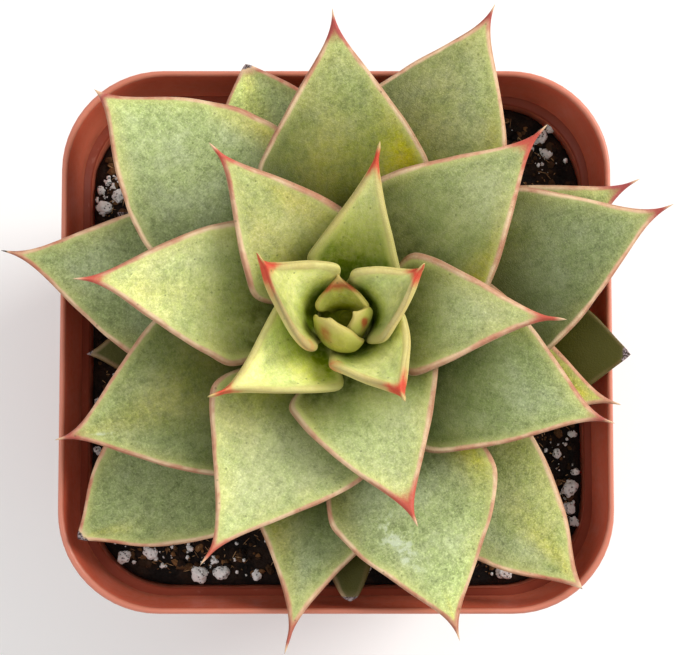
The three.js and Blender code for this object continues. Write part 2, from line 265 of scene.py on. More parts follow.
def makeLeafGroup():
    tree = bpy.data.node_groups.new("leaf skin", "ShaderNodeTree")
    for way, kind, names in (
        ("INPUT", "Color", ("Body", "Deep", "Flush", "Glow", "Margin", "Blush", "Tip", "Dry")),
        ("INPUT", "Float", ("Bloom", "Margin Width", "Grain Share", "Margin Share", "Blush Share")),
        ("OUTPUT", "Color", ("Colour",)), ("OUTPUT", "Float", ("Roughness", "Height")),
    ):
        for name in names:
            tree.interface.new_socket(name=name, in_out=way, socket_type="NodeSocket" + kind)
    take, give = tree.nodes.new("NodeGroupInput").outputs, tree.nodes.new("NodeGroupOutput").inputs
    place = reading(tree, "leafPlace", "Vector")  # across and along in mm, and a number for each leaf
    rim, tip, deep = reading(tree, "leafRim"), reading(tree, "leafTip"), reading(tree, "leafDeep")
    toneAndShade, redness, dryness = reading(tree, "leafToneAndShade"), reading(tree, "leafRed"), reading(tree, "leafDry")
    lengthwise = stretched(tree, place, 1, streakLength, 1)
    patches, blushes, mottle, streaks, grit, speckle, powder = (
        grain(tree, lengthwise if name == "streaks" else place, *how) for name, how in skinNoise.items())

    # body: darker and more saturated towards the foot, a deeper green there that is partly painted shade,
    # with bluish bloom down the middle and yellow patches
    deepness = times(tree, deep, span(tree, mottle, 0.3, 0.7, 0.85, 1.15), clamp=True)
    colour = blendColour(tree, deepness, take["Body"], take["Deep"])
    dust = times(tree, span(tree, patches, 0.38, 0.62, 0.25, 1), take["Bloom"],
                 span(tree, rim, 1.5, 6.5), span(tree, deep, 0.1, 0.8, 1, 0.1))
    colour = blendColour(tree, dust, colour, blendColour(tree, 0.72, colour, paint(150, 168, 140)))
    yellow = times(tree, reading(tree, "leafFlush"), span(tree, mottle, 0.25, 0.6, 0.7, 1), clamp=True)
    colour = blendColour(tree, yellow, colour, take["Flush"])

    # fine grain with scattered pale specks, strongest on the outer half, then slower changes of shade and hue
    fine = plus(tree, sway(tree, speckle, 0.18, 0.11), sway(tree, grit, 0.16, 0.14),
                sway(tree, powder, 0.2, 0.06), span(tree, speckle, 0.6, 0.72, 0, 0.3))
    fine = times(tree, fine, times(tree, take["Grain Share"], span(tree, deep, 0, 0.7, 1.15, 0.5)))
    shade = plus(tree, fine, sway(tree, mottle, 0.2, 0.13), sway(tree, streaks, 0.2, 0.08),
                 sway(tree, patches, 0.15, 0.1), 1)
    hue = plus(tree, span(tree, grit, 0.35, 0.65, 0.505, 0.497),
               span(tree, patches, 0.36, 0.64, 0.012, -0.01))
    rich = times(tree, span(tree, deep, 0, 0.6, 1.02, 1.2), span(tree, grit, 0.35, 0.65, 1.06, 0.94))
    # the value takes each leaf's painted light and shade, with some of its own paler or deeper tone
    bright = addNode(tree, "ShaderNodeHueSaturation", {
        "Hue": hue, "Saturation": rich, "Value": times(tree, shade, plus(tree, toneAndShade, 1)), "Color": colour})
    dim = span(tree, toneAndShade, -0.8, -0.6, 0.92, 0)  # the deepest painted shade turns dark olive, as on the dying lower leaves
    colour = blendColour(tree, dim, bright.outputs["Color"], paint(68, 65, 7))
    scuffed = plus(tree, reading(tree, "leafScuff"), span(tree, mottle, 0.35, 0.65, -0.5, 0.2))
    colour = blendColour(tree, span(tree, scuffed, 0.2, 0.9, 0, 0.6), colour, paint(206, 214, 192))

    # yellow-green glow inside the margin, dimmed with the painted shade, and under the leaf
    glow = times(tree, span(tree, rim, 0.7, 2.7, 0.5, 0), span(tree, toneAndShade, -0.8, 0))
    colour = blendColour(tree, glow, colour, take["Glow"])
    pale = times(tree, reading(tree, "leafUnder"), span(tree, rim, 0.5, 5, 0.75, 0.15))
    colour = blendColour(tree, pale, colour, take["Glow"])

    # the margin's own soft band, with faint red stretches and a thin darker line, darkened with painted shade
    # at the foot and faded on the darkest-shaded leaves
    width = times(tree, take["Margin Width"], span(tree, patches, 0.35, 0.65, 0.8, 1.2))
    edge = span(tree, calc(tree, "DIVIDE", rim, width), 0.6, 1.35, 0.94, 0)
    edge = times(tree, edge, calc(tree, "SUBTRACT", take["Margin Share"], dim), clamp=True)
    blush = span(tree, blushes, 0.38, 0.66, 0, 0.8)
    blush = plus(tree, blush, sway(tree, streaks, 0.2, 0.16), span(tree, tip, 4, 14, 0.4, 0))
    blush = times(tree, blush, take["Blush Share"], clamp=True)
    band = blendColour(tree, blush, take["Margin"], take["Blush"])
    line = times(tree, span(tree, rim, 0.1, 0.5, 0.8, 0), span(tree, patches, 0.4, 0.56, 0.25, 1))
    band = blendColour(tree, times(tree, line, take["Blush Share"]), band, paint(150, 86, 66))
    band = blendColour(tree, times(tree, deep, 0.6), band, take["Deep"])
    colour = blendColour(tree, edge, colour, band)

    # red at the tip and in patches, ending in a pale hair
    red = span(tree, plus(tree, redness, sway(tree, mottle, 0.2, 0.12)), 0.05, 0.8, 0, 0.95)
    colour = blendColour(tree, times(tree, red, span(tree, redness, 0.02, 0.2)), colour, take["Tip"])
    hair = times(tree, span(tree, tip, 0.5, 2.1, 0.85, 0), calc(tree, "SUBTRACT", 1, dim))
    colour = blendColour(tree, hair, colour, take["Margin"])

    # small dark pits and dried skin
    pits = addNode(tree, "ShaderNodeTexVoronoi", {"Vector": place, "Scale": pitScale})
    pitted = span(tree, pits.outputs["Distance"], 0.05, 0.13, 0.45, 0)
    colour = blendColour(tree, pitted, colour, paint(74, 82, 40))
    dry = span(tree, plus(tree, dryness, sway(tree, mottle, 0.2, 0.25)), 0.35, 0.65)
    dry = times(tree, dry, span(tree, dryness, 0.02, 0.2))
    husk = blendColour(tree, span(tree, speckle, 0.4, 0.6), take["Dry"], paint(52, 42, 34))
    plug(tree, blendColour(tree, dry, colour, husk), give["Colour"])

    plug(tree, plus(tree, span(tree, speckle, 0.3, 0.7, 0.42, 0.6), times(tree, dry, 0.3)), give["Roughness"])
    height = plus(tree, times(tree, speckle, 0.8), times(tree, mottle, 0.5), times(tree, powder, 0.35))
    plug(tree, height, give["Height"])
    return tree


leafGroup = makeLeafGroup()

leafFinish = {
    "common": {
        "Flush": paint(198, 187, 80), "Glow": paint(206, 206, 128), "Margin": paint(228, 196, 160),
        "Blush": paint(182, 102, 84), "Dry": paint(156, 140, 142),
        "Grain Share": 1, "Margin Width": 0.85, "Margin Share": 1, "Blush Share": 0.8,
    },
    "young_leaf": {
        "Body": paint(220, 226, 146), "Deep": paint(80, 96, 34), "Glow": paint(222, 218, 130),
        "Margin": paint(204, 188, 126), "Blush": paint(178, 126, 90), "Tip": paint(204, 68, 52),
        "Bloom": 0.1, "Grain Share": 0.3, "Margin Width": 0.9, "Margin Share": 0.5, "Blush Share": 0.75,
    },
    "inner_leaf": {
        "Body": paint(195, 201, 136), "Deep": paint(52, 58, 14), "Tip": paint(192, 82, 68), "Bloom": 0.45,
        "Grain Share": 0.75,
    },
    "middle_leaf": {
        "Body": paint(177, 186, 122), "Deep": paint(50, 58, 10), "Tip": paint(164, 72, 68), "Bloom": 0.65,
    },
    "outer_leaf": {
        "Body": paint(167, 175, 112), "Deep": paint(54, 58, 14), "Tip": paint(160, 72, 72), "Bloom": 0.6,
    },
    "heart_skin": {
        "Body": paint(170, 172, 76), "Deep": paint(66, 74, 18), "Glow": paint(176, 174, 84),
        "Margin": paint(194, 178, 104), "Blush": paint(196, 140, 96), "Tip": paint(156, 76, 40),
        "Bloom": 0.05, "Grain Share": 0.3, "Margin Width": 0.4, "Margin Share": 0.35, "Blush Share": 0.5,
    },
}


def makeLeafMaterial(slotName):
    material, tree, shader = newMaterial(slotName.replace("_", " "))
    finish = {**leafFinish["common"], **leafFinish[slotName]}
    group = addNode(tree, "ShaderNodeGroup", finish, node_tree=leafGroup)
    dress(tree, shader, {
        "Base Color": group.outputs["Colour"], "Roughness": group.outputs["Roughness"],
        "Subsurface Weight": 0.12, "Subsurface Radius": (0.9, 1, 0.4), "Subsurface Scale": 0.0012,
        "Specular IOR Level": 0.2,
    })
    addBump(tree, shader, group.outputs["Height"], 0.00016, 0.7)
    return material


leafMaterials = {name: makeLeafMaterial(name) for name in leafFinish if name != "common"}
print("leaf skins made")


# Leaves

stemX, stemY = 1.2, 2.4
rimHeight = 84

leafShape = {  # what all leaves share, with ranks counted down from the youngest
    "highestFoot": 97.2, "footPitch": 0.72, "footThickness": 1.3,
    "footRise": 82, "footRiseFade": 11, "tipRise": 4, "youngTipRise": 28, "tipRiseFade": 14,
    "tipHandle": 0.36, "thickness": 1.9, "thicker": 0.033, "tipThickness": 0.75,
    "bellyPlace": 0.8, "bellyReach": 0.15, "spineHalf": 0.32,
    "edge": 1, "youngEdge": 0.75, "edgeFade": 8,  # margins are thicker on the young leaves
    "wave": 0.35, "waves": 17, "waveTurn": 2.4, "wander": 0.022, "undulation": 0.16,
    "stations": 36, "acrossSteps": 20, "levels": 1,
}

plainLeaf = {  # what a leaf has unless its own lines say otherwise
    "footRadius": 4.85, "footHalf": 3.9, "handle": 0.36, "taper": 1.5, "shoulder": 0.95,
    "neck": 0.45, "neckReach": 0.22, "belly": 1.4, "bow": 0, "sweep": 0,
    "fold": 2,  # nearer 1 makes a sharper valley
    "toneAndShade": 0, "slope": 0, "aside": 0, "dusk": 0.55, "red": (0, 0), "dry": 0,
    "flush": [], "patch": [], "scuff": [],
}

# From the innermost to the lowest. heading is in degrees, reach goes from the stem's axis to the tip, and tip
# is the tip's height over the rim. half is half the breadth where the leaf is widest, and cup how far its
# margins rise over the midrib. bow and sweep bend it sideways. red is the length and strength of the red
# tip, and dry the length of the dried one. flush, patch and scuff list yellow, red and pale patches (along,
# across, size, strength). toneAndShade lightens or darkens the leaf, slope does so towards its tip and aside
# towards its left margin: painted light and shade for how each leaf is lit, along with some of its own
# paler or deeper tone. dusk is how far its darker foot reaches, a deeper green that is partly painted shade.
leaves = [
    {"rank": 1, "heading": 161, "reach": 16, "tip": 25, "half": 7.4, "widest": 0.36, "cup": 6,
     "handle": 0.5, "sweep": -4.6, "footHalf": 5.2, "bow": 0.6, "neck": 0.62, "neckReach": 0.4,
     "red": (4.2, 1), "flush": [(0.6, 0.3, 0.4, 0.35)], "patch": [(0.35, 0.93, 0.14, 0.3)], "toneAndShade": -0.12,
     "slope": -0.6, "aside": -0.46, "dusk": 0.5},
    {"rank": 0, "heading": 21, "reach": 14.8, "tip": 25, "half": 6.4, "widest": 0.36, "cup": 4.4,
     "handle": 0.5, "sweep": 2.8, "footHalf": 5.2, "bow": -0.4, "neck": 0.62, "neckReach": 0.4,
     "red": (3.2, 1), "flush": [(0.7, -0.2, 0.4, 0.3)], "toneAndShade": -0.28, "slope": -0.6, "aside": 0.28,
     "dusk": 0.5},
    {"rank": 3, "heading": 305, "reach": 17, "tip": 24, "half": 7.5, "widest": 0.34, "cup": 4.6,
     "handle": 0.46, "bow": 1, "footHalf": 5.2, "neck": 0.62, "neckReach": 0.4, "red": (4.4, 1),
     "patch": [(0.35, -0.95, 0.14, 0.4)], "toneAndShade": -0.14, "slope": -0.7, "aside": 0.15, "dusk": 0.5},
    {"rank": 4.6, "heading": 211.5, "reach": 25.3, "tip": 23, "half": 9.2, "widest": 0.24, "cup": 4.8,
     "taper": 1.9, "bow": 1.1, "neck": 0.55, "neckReach": 0.3, "red": (5, 0.8),
     "flush": [(0.45, 0.1, 0.35, 0.2)], "toneAndShade": 0.18, "slope": -0.9, "aside": -0.12},
    {"rank": 4.9, "heading": 78, "reach": 28.5, "tip": 23, "half": 8, "widest": 0.27, "cup": 4,
     "taper": 1.7, "shoulder": 0.5, "red": (5.5, 1), "toneAndShade": -0.3, "aside": -0.06, "slope": -0.5,
     "dusk": 0.85},
    {"rank": 7.5, "heading": 127.8, "reach": 35.5, "tip": 21, "half": 10.8, "widest": 0.3, "cup": 3.6,
     "taper": 1.6, "bow": -1.1, "red": (5, 1), "flush": [(0.55, -0.6, 0.3, 0.5), (0.5, 0.4, 0.4, 0.4)],
     "toneAndShade": -0.14, "slope": 0.3, "aside": -0.16},
    {"rank": 6.6, "heading": 359, "reach": 36, "tip": 20, "half": 10.4, "widest": 0.29, "cup": 3.6,
     "taper": 1.75, "bow": 0.9, "red": (6, 0.8), "toneAndShade": -0.24, "aside": 0.15, "dusk": 0.65},
    {"rank": 9.9, "heading": 172, "reach": 44.5, "tip": 18, "half": 12.4, "widest": 0.36, "cup": 3,
     "bow": -2, "red": (6, 0.75), "flush": [(0.7, 0.2, 0.35, 0.3)], "toneAndShade": 0.1, "slope": 0.45,
     "aside": 0.08, "dusk": 0.7},
    {"rank": 8.2, "heading": 289.5, "reach": 36, "tip": 18, "half": 13.2, "widest": 0.25, "cup": 3.2,
     "bow": -0.6, "red": (6.5, 1), "toneAndShade": -0.04, "slope": -0.1, "aside": 0.05, "dusk": 0.62},
    {"rank": 11.7, "heading": 240, "reach": 46.5, "tip": 15, "half": 15, "widest": 0.4, "cup": 3,
     "taper": 1.75, "bow": 1.6, "red": (6, 0.7), "flush": [(0.35, -0.6, 0.25, 0.35)], "toneAndShade": -0.08,
     "slope": 0.7, "aside": -0.05},
    {"rank": 10, "heading": 43.5, "reach": 46.5, "tip": 16, "half": 13.6, "widest": 0.37, "cup": 3,
     "taper": 1.6, "red": (7, 0.9), "flush": [(0.45, -0.95, 0.2, 0.5)], "toneAndShade": -0.3, "slope": 0.1,
     "dusk": 0.85},
    {"rank": 13.3, "heading": 92, "reach": 52, "tip": 14.5, "half": 14.6, "widest": 0.46, "cup": 3,
     "taper": 1.4, "shoulder": 0.6, "bow": -1, "red": (5.5, 1),
     "flush": [(0.42, -0.85, 0.26, 0.95), (0.55, 0.2, 0.5, 0.3)], "toneAndShade": -0.33, "slope": 0.9,
     "aside": -0.15, "dusk": 0.95},
    {"rank": 13.2, "heading": 339, "reach": 48, "tip": 12.5, "half": 15.3, "widest": 0.38, "cup": 2.6,
     "bow": -0.4, "red": (5, 0.65), "flush": [(0.42, 0.95, 0.16, 0.7)], "toneAndShade": -0.29, "slope": 0.65,
     "aside": 0.12, "dusk": 0.85},
    {"rank": 14.3, "heading": 202.5, "reach": 52, "tip": 9.5, "half": 15.8, "widest": 0.45, "cup": 2.8,
     "bow": 1.8, "red": (6, 0.6), "flush": [(0.75, 0, 0.25, 0.35), (0.45, -0.2, 0.4, 0.2)],
     "scuff": [(0.85, 0.3, 0.07, 0.6)], "toneAndShade": -0.38, "slope": 0.8, "dusk": 0.9},
    {"rank": 16, "heading": 137, "reach": 57.5, "tip": 10, "half": 15.3, "widest": 0.5, "cup": 2.6,
     "taper": 1.2, "bow": -1.4, "red": (3, 0.9), "flush": [(0.5, -1, 0.16, 0.8)], "toneAndShade": -0.18,
     "slope": 1.2, "aside": -0.26},
    {"rank": 16.4, "heading": 290, "reach": 56.5, "tip": 8.5, "half": 15, "widest": 0.53, "cup": 2.6,
     "bow": 1.1, "red": (4, 0.45),
     "flush": [(0.4, 0.9, 0.2, 1), (0.42, -0.95, 0.16, 0.5), (0.93, 0, 0.1, 0.4)],
     "scuff": [(0.66, -0.42, 0.14, 0.8)], "toneAndShade": -0.14, "slope": 1.5, "aside": 0.25, "dusk": 0.6},
    {"rank": 17, "heading": 19.5, "reach": 59, "tip": 10, "half": 15.6, "widest": 0.46, "cup": 2.4,
     "bow": -1.2, "red": (5, 0.9), "flush": [(0.32, 0.5, 0.26, 0.5)], "toneAndShade": -0.54, "slope": 0.8,
     "aside": 0.05, "dusk": 0.9},
    {"rank": 19.7, "heading": 168, "reach": 59.5, "tip": 5.5, "half": 14.8, "widest": 0.47, "cup": 2.2,
     "bow": -0.4, "red": (4, 0.35), "dry": 1.4, "toneAndShade": -0.3, "dusk": 0.7},
    {"rank": 20, "heading": 64.5, "reach": 60.5, "tip": 7.5, "half": 15.2, "widest": 0.51, "cup": 2.2,
     "red": (4, 1), "flush": [(0.5, -0.95, 0.25, 0.7), (0.5, 0.2, 0.5, 0.4)], "toneAndShade": -0.48, "slope": 0.8,
     "aside": -0.2, "dusk": 0.8},
    {"rank": 20.4, "heading": 260, "reach": 56.5, "tip": 5, "half": 12, "widest": 0.54, "cup": 2,
     "taper": 2, "shoulder": 0.7, "bow": 1.2, "red": (6, 0.65), "flush": [(0.5, -0.7, 0.3, 0.5)],
     "toneAndShade": -0.34, "slope": 0.7, "aside": 0.06, "dusk": 0.9},
    {"rank": 23, "heading": 219, "reach": 58, "tip": 2, "half": 15, "widest": 0.58, "cup": 2, "taper": 0.65,
     "shoulder": 0.1, "bow": 1.5, "dry": 1.2, "flush": [(0.93, 0.4, 0.12, 0.4)], "toneAndShade": -0.24,
     "slope": 0.1, "aside": 0.05, "dusk": 0.8},
    {"rank": 26.3, "heading": 110.5, "reach": 48, "tip": 3.5, "half": 14, "widest": 0.6, "cup": 3,
     "taper": 0.75, "shoulder": 0.1, "neck": 0.2, "red": (2.5, 0.5), "dry": 1,
     "flush": [(0.9, 0.2, 0.25, 0.35)], "fold": 1.3, "toneAndShade": 0.2, "slope": 0.1, "aside": 0.75, "dusk": 0.5},
    {"rank": 24.3, "heading": 312, "reach": 60.5, "tip": 3, "half": 12.6, "widest": 0.56, "cup": 2,
     "taper": 0.9, "shoulder": 0.4, "bow": -1, "red": (2, 0.25), "dry": 0.6,
     "flush": [(0.45, 0.8, 0.3, 0.4), (0.85, 0.2, 0.25, 0.5)], "toneAndShade": -0.22, "slope": 0.7, "aside": 0.3,
     "dusk": 0.65},
    {"rank": 25.7, "heading": 26, "reach": 56.5, "tip": 5, "half": 11, "widest": 0.5, "cup": 2,
     "red": (6, 1), "dusk": 0.9},
    {"rank": 21.4, "heading": 343.5, "reach": 49, "tip": 5.8, "half": 11.6, "widest": 0.45, "cup": 2,
     "red": (4, 0.4), "flush": [(0.7, 0, 1.2, 0.85)], "toneAndShade": 0.05, "dusk": 0.5},
    {"rank": 31, "heading": 354, "reach": 49.5, "tip": 2, "half": 11.4, "widest": 0.6, "cup": 1.4,
     "taper": 0.8, "shoulder": 0.5, "belly": 0.2, "neck": 0.3, "dry": 1.6, "toneAndShade": -0.84, "dusk": 1.2},
    {"rank": 27.5, "heading": 271.5, "reach": 47.2, "tip": 0.4, "half": 5.8, "widest": 0.6, "cup": 1,
     "taper": 0.45, "shoulder": 0.1, "belly": 0.5, "neck": 0.1, "dry": 0.7, "fold": 1.2, "toneAndShade": -0.82,
     "aside": -0.1, "dusk": 1},
    {"rank": 28, "heading": 186, "reach": 45, "tip": -4, "half": 8, "widest": 0.6, "cup": 1, "taper": 0.9,
     "shoulder": 0.4, "belly": 0.4, "dry": 1.2, "flush": [(0.7, 0, 0.4, 0.5)], "toneAndShade": -0.74, "dusk": 1},
    {"rank": 32, "heading": 153, "reach": 44.5, "tip": -4, "half": 7, "widest": 0.6, "cup": 1, "taper": 0.8,
     "shoulder": 0.4, "belly": 0.2, "dry": 10, "toneAndShade": -0.1, "dusk": 0.6},
]

budShape = {"footHeight": 96, "footHalf": 2, "handle": 0.5, "shoulder": 0.4, "thickness": 1.4, "belly": 0}
buds = [  # the first leans back, and the others swell outwards and close over the middle
    {"heading": 90, "reach": 6.6, "tip": 21, "half": 4.5, "cup": 1.6, "sweep": 0.9, "footRadius": 1.2,
     "footRise": 88, "tipRise": 24, "widest": 0.5, "taper": 1.2, "red": (3.2, 1),
     "patch": [(0.8, 0, 0.2, 0.35)]},
    {"heading": 246, "reach": 1.2, "tip": 21.6, "half": 4.6, "cup": 2.4, "bow": 0.9, "sweep": -1.6,
     "footRadius": 2.6, "footRise": 50, "tipRise": 150, "widest": 0.66, "taper": 0.7,
     "patch": [(0.78, -0.3, 0.2, 0.45), (0.6, -0.1, 0.25, 0.22)], "flush": [(0.84, 0.15, 0.25, 1)],
     "toneAndShade": 0.1},
    {"heading": 322, "reach": 0.8, "tip": 20.8, "half": 3.3, "cup": 1.2, "bow": 0.2, "sweep": 1.4,
     "footRadius": 2, "footRise": 66, "tipRise": 150, "widest": 0.6, "taper": 0.8,
     "patch": [(0.72, 0.15, 0.12, 0.8), (0.6, 0.05, 0.25, 0.3)], "toneAndShade": -0.25},
]


def grown(entry):  # an older leaf stands lower on the stem and lies flatter
    rank = entry["rank"]

    def fading(ranks):
        return math.exp(-rank / ranks)

    leaf = {
        **plainLeaf, "footHeight": leafShape["highestFoot"] - leafShape["footPitch"] * rank,
        "footRise": leafShape["footRise"] * fading(leafShape["footRiseFade"]),
        "tipRise": leafShape["tipRise"] + leafShape["youngTipRise"] * fading(leafShape["tipRiseFade"]),
        "thickness": leafShape["thickness"] + leafShape["thicker"] * rank,
        "edge": leafShape["edge"] + leafShape["youngEdge"] * fading(leafShape["edgeFade"]), **entry,
    }
    foot = Vector((leaf["footRadius"], leaf["footHeight"]))
    end = Vector((leaf["reach"], rimHeight + leaf["tip"]))
    length = (end - foot).length

    def towards(degrees):
        return Vector((math.cos(math.radians(degrees)), math.sin(math.radians(degrees))))

    leaf["midrib"] = (foot, foot + towards(leaf["footRise"]) * length * leaf["handle"],
                      end - towards(leaf["tipRise"]) * length * leafShape["tipHandle"], end)
    leaf["length"] = length
    return leaf


def onMidrib(leaf, t):  # place and direction on the leaf's own curve
    a, b, c, d = leaf["midrib"]
    u = 1 - t
    place = a * u ** 3 + b * 3 * u * u * t + c * 3 * u * t * t + d * t ** 3
    slope = (b - a) * u * u + (c - b) * 2 * u * t + (d - c) * t * t
    return place, slope.normalized()


def halfWidth(leaf, along):
    before = min(along / leaf["widest"], 1)
    after = max((along - leaf["widest"]) / (1 - leaf["widest"]), 0)
    rising = mix(leaf["footHalf"], leaf["half"], smooth(before))
    neck = 1 - leaf["neck"] * math.exp(-(((1 - after) / leaf["neckReach"]) ** 2))
    falling = (1 - after) ** leaf["taper"] * (1 + leaf["shoulder"] * after) * neck
    spine = leafShape["spineHalf"] * mix(1, 0.3, smooth(along, 0.95, 1))  # the tip ends in a fine point
    return max(rising * falling, spine)


def leafPoint(leaf, along, across, side):  # side 0 is the upper face and 1 the underside
    place, slope = onMidrib(leaf, along)
    half = halfWidth(leaf, along)
    share = half / leaf["half"]
    wander = roughly((math.copysign(5, across), along * leaf["length"] * 0.25, leaf["rank"]))
    half *= 1 + leafShape["wander"] * wander
    ripple = math.sin(along * leafShape["waves"] + leaf["rank"] * leafShape["waveTurn"] + across)
    wave = leafShape["wave"] * share * abs(across) ** 3 * ripple
    cup = leaf["cup"] * share ** 1.5
    spot = (across * half * 0.16, along * leaf["length"] * 0.13, leaf["rank"] * 3.7)
    lift = cup * abs(across) ** leaf["fold"] + wave + leafShape["undulation"] * share * roughly(spot) * 2

    foot = mix(leafShape["footThickness"], leaf["thickness"], smooth(along, 0, 0.3))
    middle = mix(foot, leafShape["tipThickness"] * mix(1, 0.4, smooth(along, 0.93, 1)), along ** 2)
    middle += leaf["belly"] * math.exp(-(((along - leafShape["bellyPlace"]) / leafShape["bellyReach"]) ** 2))
    edge = min(leaf["edge"], middle)
    thickness = edge + (middle - edge) * (1 - abs(across) ** 2.4)
    turn = min(edge * 0.55, half * 0.9)
    inside = min(half * (1 - abs(across)) / turn, 1)
    nose = math.sqrt(max(1 - (1 - inside) ** 2, 0))  # the margin is rounded
    drop = (1 - nose) * thickness / 2

    steep = cup * leaf["fold"] * abs(across) ** (leaf["fold"] - 1) / half  # the cupped face's own slope
    tilt = Vector((-math.copysign(steep, across), 1)).normalized()
    bulge = edge * 0.7 * steep / math.hypot(1, steep) if abs(across) > 0 else 0
    depth = thickness - drop if side else drop
    beside = across * (half - bulge * abs(across)) - tilt.x * depth
    over = lift - tilt.y * depth
    bend = leaf["bow"] * 4 * along * (1 - along) + leaf["sweep"] * along ** 2
    return Vector((place.x - slope.y * over, beside + bend, place.y + slope.x * over))


def patchwork(spots, along, across):  # strength of soft round patches on a leaf
    total = 0
    for at, beside, size, strength in spots:
        far = math.hypot(along - at, (across - beside) * 0.55) / size
        total += strength * math.exp(-far * far * 1.6)
    return min(total, 1)


leafReadings = ("leafDeep", "leafRim", "leafTip", "leafUnder", "leafFlush", "leafScuff", "leafRed", "leafDry",
                "leafToneAndShade")


def readingLayers(bm):
    layers = bm.verts.layers
    floats = {name: layerOf(layers.float, name) for name in leafReadings}
    return floats, layerOf(layers.float_vector, "leafPlace")


def addLeaf(bm, leaf, number):
    floats, placeLayer = readingLayers(bm)
    steps = leafShape["acrossSteps"]
    fan = [(math.cos(math.pi * k / steps), 0) for k in range(steps + 1)]
    fan += [(math.cos(math.pi * k / steps), 1) for k in range(steps - 1, 0, -1)]
    count = leafShape["stations"]
    stations = [1 - (1 - i / count) ** 1.3 for i in range(count)] + [0.9985]
    turn = Matrix.Rotation(math.radians(leaf["heading"]), 3, "Z")
    shift = Vector((stemX, stemY, 0))
    rings = [[turn @ leafPoint(leaf, along, across, side) + shift for across, side in fan]
             for along in stations]
    redLength, redStrength = leaf["red"]

    def mark(vert, ring, index):
        along, (across, side) = stations[ring], fan[index]
        half = halfWidth(leaf, along)
        fromTip = (1 - along) * leaf["length"]
        reach = redLength * (1 + 0.25 * abs(across) ** 3)  # the red runs further along the margins
        tipRed = redStrength * (1 - smooth(fromTip, reach * 0.3, reach * 1.2)) if redLength else 0
        values = {
            "leafDeep": 1 - smooth(along, 0.08, leaf["dusk"]), "leafTip": fromTip, "leafUnder": float(side),
            "leafRim": min(half * (1 - abs(across)) * 1.1, fromTip),
            "leafToneAndShade": leaf["toneAndShade"] + leaf["slope"] * (along - 0.6) + leaf["aside"] * across,
            "leafFlush": patchwork(leaf["flush"], along, across) * (1 - side * 0.4),
            "leafScuff": patchwork(leaf["scuff"], along, across) * (1 - side),
            "leafRed": max(tipRed, patchwork(leaf["patch"], along, across)),
            "leafDry": smooth(leaf["dry"] * 1.3 - fromTip, 0, leaf["dry"]) if leaf["dry"] else 0,
        }
        for name, value in values.items():
            vert[floats[name]] = value
        vert[placeLayer] = (across * half, along * leaf["length"] + side * 40, number * 23.7)

    drawn = skinOver(bm, rings, mark)
    bmesh.ops.pointmerge(bm, verts=drawn[-1], merge_co=turn @ leafPoint(leaf, 1, 0, 0.5) * mm + shift * mm)


def leafSlot(rank):
    if rank <= 5:
        return "young_leaf"
    if rank <= 12:
        return "inner_leaf"
    return "middle_leaf" if rank <= 22 else "outer_leaf"


for order, entry in enumerate(leaves, 1):
    bm = bmesh.new()
    addLeaf(bm, grown(entry), order)
    slotName = leafSlot(entry["rank"])
    finishPiece(f"fineLeaf{order:02d}", bm, leafMaterials[slotName], [f"leaf_{order:02d}"],
                leafShape["levels"])
print("leaves grown:", len(leaves))


# Stem with the heart

stem = {"radius": 4.4, "topRadius": 3.2, "topHeight": 97.5, "topTaper": 6.5, "crown": 1, "bottom": 58,
        "rootRadius": 2.4, "rootTaper": 5, "sides": 40, "steps": 16, "knots": 0.15, "knotTurn": 2.1}

bm = bmesh.new()
stemFloats, stemPlaces = readingLayers(bm)
trunkFoot, trunkTop = stem["bottom"] + stem["rootTaper"], stem["topHeight"] - stem["topTaper"]
outline = [(stem["rootRadius"], stem["bottom"])]
outline += [(stem["radius"] - stem["knots"] * math.sin(i * stem["knotTurn"]),
             mix(trunkFoot, trunkTop, i / stem["steps"])) for i in range(stem["steps"] + 1)]
outline += [(stem["topRadius"], stem["topHeight"]),
            (stem["topRadius"] * 0.4, stem["topHeight"] + stem["crown"] * 0.8)]
circle = [2 * math.pi * k / stem["sides"] for k in range(stem["sides"])]
rings = [[(stemX + r * math.cos(a), stemY + r * math.sin(a), z) for a in circle]
         for r, z in outline]


def markStem(vert, ring, index):  # the stem has the dark skin of a leaf's foot, partly painted shade, far from any margin
    vert[stemFloats["leafRim"]] = vert[stemFloats["leafTip"]] = 20
    vert[stemFloats["leafDeep"]], vert[stemFloats["leafToneAndShade"]] = 0.8, 0.2
    vert[stemPlaces] = (index * 0.7, ring * 2, 3)


skinOver(bm, rings, markStem)
for order, entry in enumerate(buds):
    addLeaf(bm, grown({"rank": -order, **budShape, **entry}), 40 + order)
finishPiece("fineStemAndHeart", bm, leafMaterials["heart_skin"], ["stem_and_heart"], 1)
print("stem and heart grown")


# Pot

pot = {
    "rimX": 95.4, "rimY": 94, "height": 84, "baseShare": 0.72, "rimCorner": 17.5, "baseCorner": 11,
    "wall": 1.3, "lip": 1, "lipRound": 0.9, "bandHeight": 14, "bandStep": 1.1, "bandTaper": 0.5,
    "throatSlope": 1.5, "ledgeDepth": 10.4, "ledgeWidth": 1.3, "shoulderDrop": 6, "shoulderFill": 1.4,
    "floor": 2, "footEdge": 1.2, "footFillet": 1.5, "cornerSteps": 14, "sideSteps": 10,
    "drainRadius": 4, "drainPlace": 18, "drillSides": 40, "drillLength": 8,
}

potFinish = {  # heights in mm; the inner colours are painted light and shade, lighter than the outside and lighter low down than near the lip
    "outer": (paint(150, 64, 44), paint(160, 71, 50)), "inner": (paint(240, 130, 100), paint(204, 96, 70)),
    # the pale lip colour is partly wear and partly a painted highlight, and it also paints a highlight line
    # at the ledge height
    "innerLightHeights": (74.5, 83.2), "rubAndHighlight": paint(244, 164, 136), "rubAndHighlightHeights": (83.2, 83.8),
    "ledgeHighlightHeight": 73.63, "scratched": paint(228, 160, 138), "soiled": paint(96, 48, 34),
    "soiledHeights": (72.5, 78),
}


